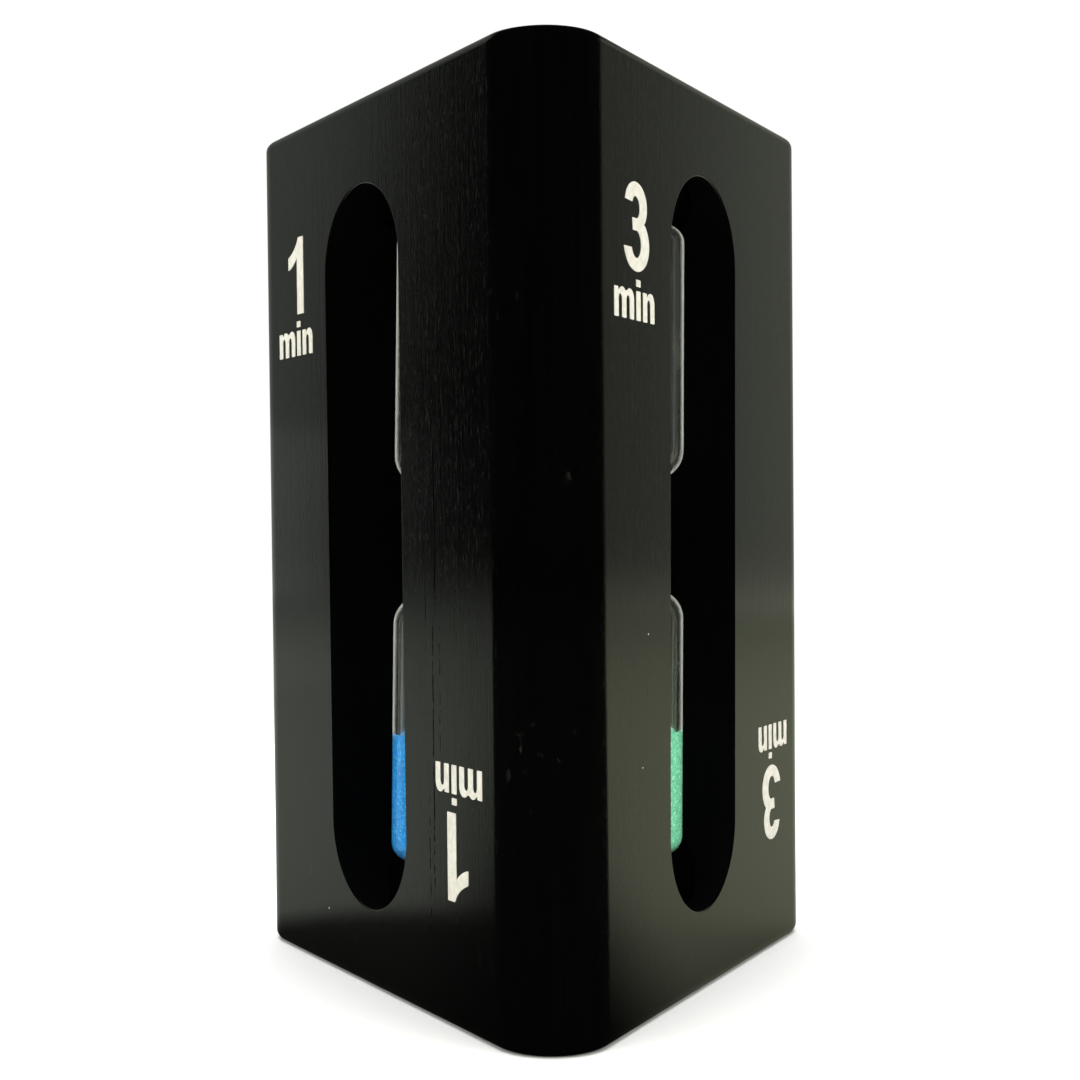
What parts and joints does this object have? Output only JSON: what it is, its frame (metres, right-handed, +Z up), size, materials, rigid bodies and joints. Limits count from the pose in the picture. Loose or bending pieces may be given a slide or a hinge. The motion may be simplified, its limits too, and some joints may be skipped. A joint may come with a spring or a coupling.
{
  "type": "sand timer",
  "caption": "Three-sided black wooden kitchen timer block with a sand glass behind a tall slot in each face.",
  "frame": {"origin": "on the block's upright axis, in the middle of its lower end", "axes": "+Z up along the block; -Y towards one upright corner and +Y out of the opposite face, which carries the 5 min glass; the 1 min glass is at -X and the 3 min glass at +X"},
  "size_m": [0.0696, 0.0621, 0.105],
  "materials": {
    "black_paint": "matte black paint over vertical wood grain",
    "clear_glass": "clear, polished",
    "black_foam": "matte closed-cell foam",
    "stopper_rubber": "matte",
    "sand_blue": "fine dyed sand",
    "sand_green": "fine dyed sand",
    "sand_red": "fine dyed sand",
    "label_ink": "matte screen-print ink"
  },
  "bodies": {
    "timer": {"block": "black_paint", "glass_vial_1min": "clear_glass", "glass_vial_3min": "clear_glass", "glass_vial_5min": "clear_glass", "vial_stopper_1min": "stopper_rubber", "vial_stopper_3min": "stopper_rubber", "vial_stopper_5min": "stopper_rubber", "foam_ring_1min": "black_foam", "foam_ring_3min": "black_foam", "foam_ring_5min": "black_foam", "foam_pad_1min": "black_foam", "foam_pad_3min": "black_foam", "foam_pad_5min": "black_foam", "bore_plug_1min": "black_paint", "bore_plug_3min": "black_paint", "bore_plug_5min": "black_paint"},
    "sand_1min": {"sand_1min": "sand_blue"},
    "sand_3min": {"sand_3min": "sand_green"},
    "sand_5min": {"sand_5min": "sand_red"}
  },
  "joints": [
    {"name": "sand_fall_1min", "type": "slide", "parent": "timer", "child": "sand_1min", "axis": [0.0209, 0, 0.9998], "range_m": [0, 0.0122]},
    {"name": "sand_fall_3min", "type": "slide", "parent": "timer", "child": "sand_3min", "axis": [0.0105, 0, 0.9999], "range_m": [0, 0.0122]},
    {"name": "sand_fall_5min", "type": "slide", "parent": "timer", "child": "sand_5min", "axis": [0, 0, 1], "range_m": [0, 0.0122]}
  ]
}
